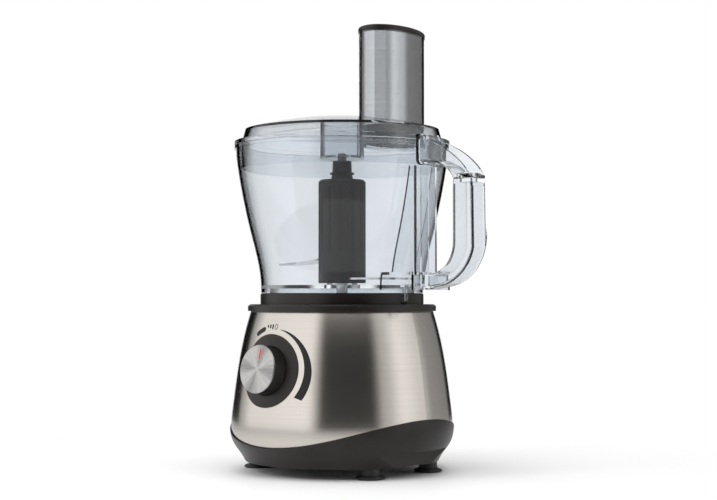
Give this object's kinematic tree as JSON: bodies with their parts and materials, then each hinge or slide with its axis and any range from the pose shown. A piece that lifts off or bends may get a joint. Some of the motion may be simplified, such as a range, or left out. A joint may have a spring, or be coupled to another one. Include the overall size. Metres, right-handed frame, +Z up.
{
  "type": "food processor",
  "caption": "Food processor: round steel-wrapped motor base with a dial, clear handled bowl, domed lid, oval feed tube with pusher, and a two-blade cutter.",
  "frame": {"origin": "on the spindle axis, in the plane that the four feet stand on", "axes": "+Z up along the spindle, -Y towards the speed dial, +X towards the bowl's handle"},
  "size_m": [0.2601, 0.2101, 0.3938],
  "materials": {
    "brushed_steel": "fine horizontal brushing",
    "black_plastic": "satin moulded",
    "inner_plastic": "moulded, unpainted",
    "clear_plastic": "clear, polished",
    "rubber": "soft matte",
    "blade_steel": "ground",
    "spun_metal": "spun, circular brushing",
    "red_mark": "painted inlay",
    "shaft_steel": "turned",
    "lamination": "stacked sheet",
    "copper": "enamelled wire",
    "bronze": "sintered",
    "carbon": "pressed carbon",
    "board": "circuit board",
    "pressed_metal": "zinc plated"
  },
  "bodies": {
    "base": {"base_skirt": "black_plastic", "cord_gland": "rubber", "steel_wrap": "brushed_steel", "body_liner": "inner_plastic", "base_plate": "black_plastic", "foot_front_left": "rubber", "foot_front_right": "rubber", "foot_rear_left": "rubber", "foot_rear_right": "rubber", "top_deck": "black_plastic", "interlock_switch": "inner_plastic", "motor_frame": "pressed_metal", "frame_grommets": "rubber", "frame_screws": "shaft_steel", "spindle_bushes": "bronze", "motor_stator": "lamination", "field_coils": "copper", "lower_bracket": "pressed_metal", "upper_bracket": "pressed_metal", "motor_bushes": "bronze", "brush_holders": "bronze", "carbon_brushes": "carbon", "drive_belt": "rubber", "dial_bezel": "black_plastic", "speed_switch": "inner_plastic", "control_board": "board"},
    "plunger": {"switch_plunger": "inner_plastic"},
    "rotor": {"rotor_shaft": "shaft_steel", "armature": "lamination", "commutator": "copper", "cooling_fan": "inner_plastic", "motor_pulley": "shaft_steel"},
    "drive": {"drive_pulley": "inner_plastic", "spindle": "shaft_steel", "pulley_nut": "shaft_steel", "blade_hub": "black_plastic", "lower_blade": "blade_steel", "upper_blade": "blade_steel"},
    "dial": {"dial_shaft": "inner_plastic", "speed_knob": "black_plastic", "knob_cap": "spun_metal", "pointer_mark": "red_mark"},
    "bowl": {"bowl": "clear_plastic", "handle_grip": "clear_plastic", "handle_cover": "clear_plastic"},
    "rod": {"interlock_rod": "clear_plastic"},
    "lid": {"lid": "clear_plastic"},
    "pusher": {"pusher_core": "black_plastic", "pusher_sleeve": "brushed_steel", "pusher_cap": "black_plastic"}
  },
  "joints": [
    {"name": "drive_spin", "type": "hinge", "parent": "base", "child": "drive", "pos_m": [0, 0, 0.1], "axis": [0, 0, 1], "continuous": true},
    {"name": "rotor_spin", "type": "hinge", "parent": "base", "child": "rotor", "pos_m": [0, 0.052, 0.09], "axis": [0, 0, 1], "continuous": true},
    {"name": "dial_turn", "type": "hinge", "parent": "base", "child": "dial", "pos_m": [0, -0.09404, 0.092], "axis": [0, 0.9877, -0.1564], "range_deg": [-35, 125]},
    {"name": "bowl_twist", "type": "hinge", "parent": "base", "child": "bowl", "pos_m": [0, 0, 0.16], "axis": [0, 0, 1], "range_deg": [0, 25]},
    {"name": "lid_twist", "type": "hinge", "parent": "bowl", "child": "lid", "pos_m": [0, 0, 0.29], "axis": [0, 0, 1], "range_deg": [0, 20]},
    {"name": "pusher_lift", "type": "slide", "parent": "lid", "child": "pusher", "axis": [0, 0, 1], "range_m": [0, 0.09]},
    {"name": "rod_rise", "type": "slide", "parent": "bowl", "child": "rod", "axis": [0, 0, 1], "range_m": [0, 0.004]},
    {"name": "plunger_rise", "type": "slide", "parent": "base", "child": "plunger", "axis": [0, 0, 1], "range_m": [0, 0.003]}
  ],
  "couplings": [
    {"joint": "rotor_spin", "follows": "drive_spin", "ratio": 6.5263},
    {"joint": "rod_rise", "follows": "lid_twist", "m_per_rad": 0.011459},
    {"joint": "plunger_rise", "follows": "lid_twist", "m_per_rad": 0.0085943}
  ]
}
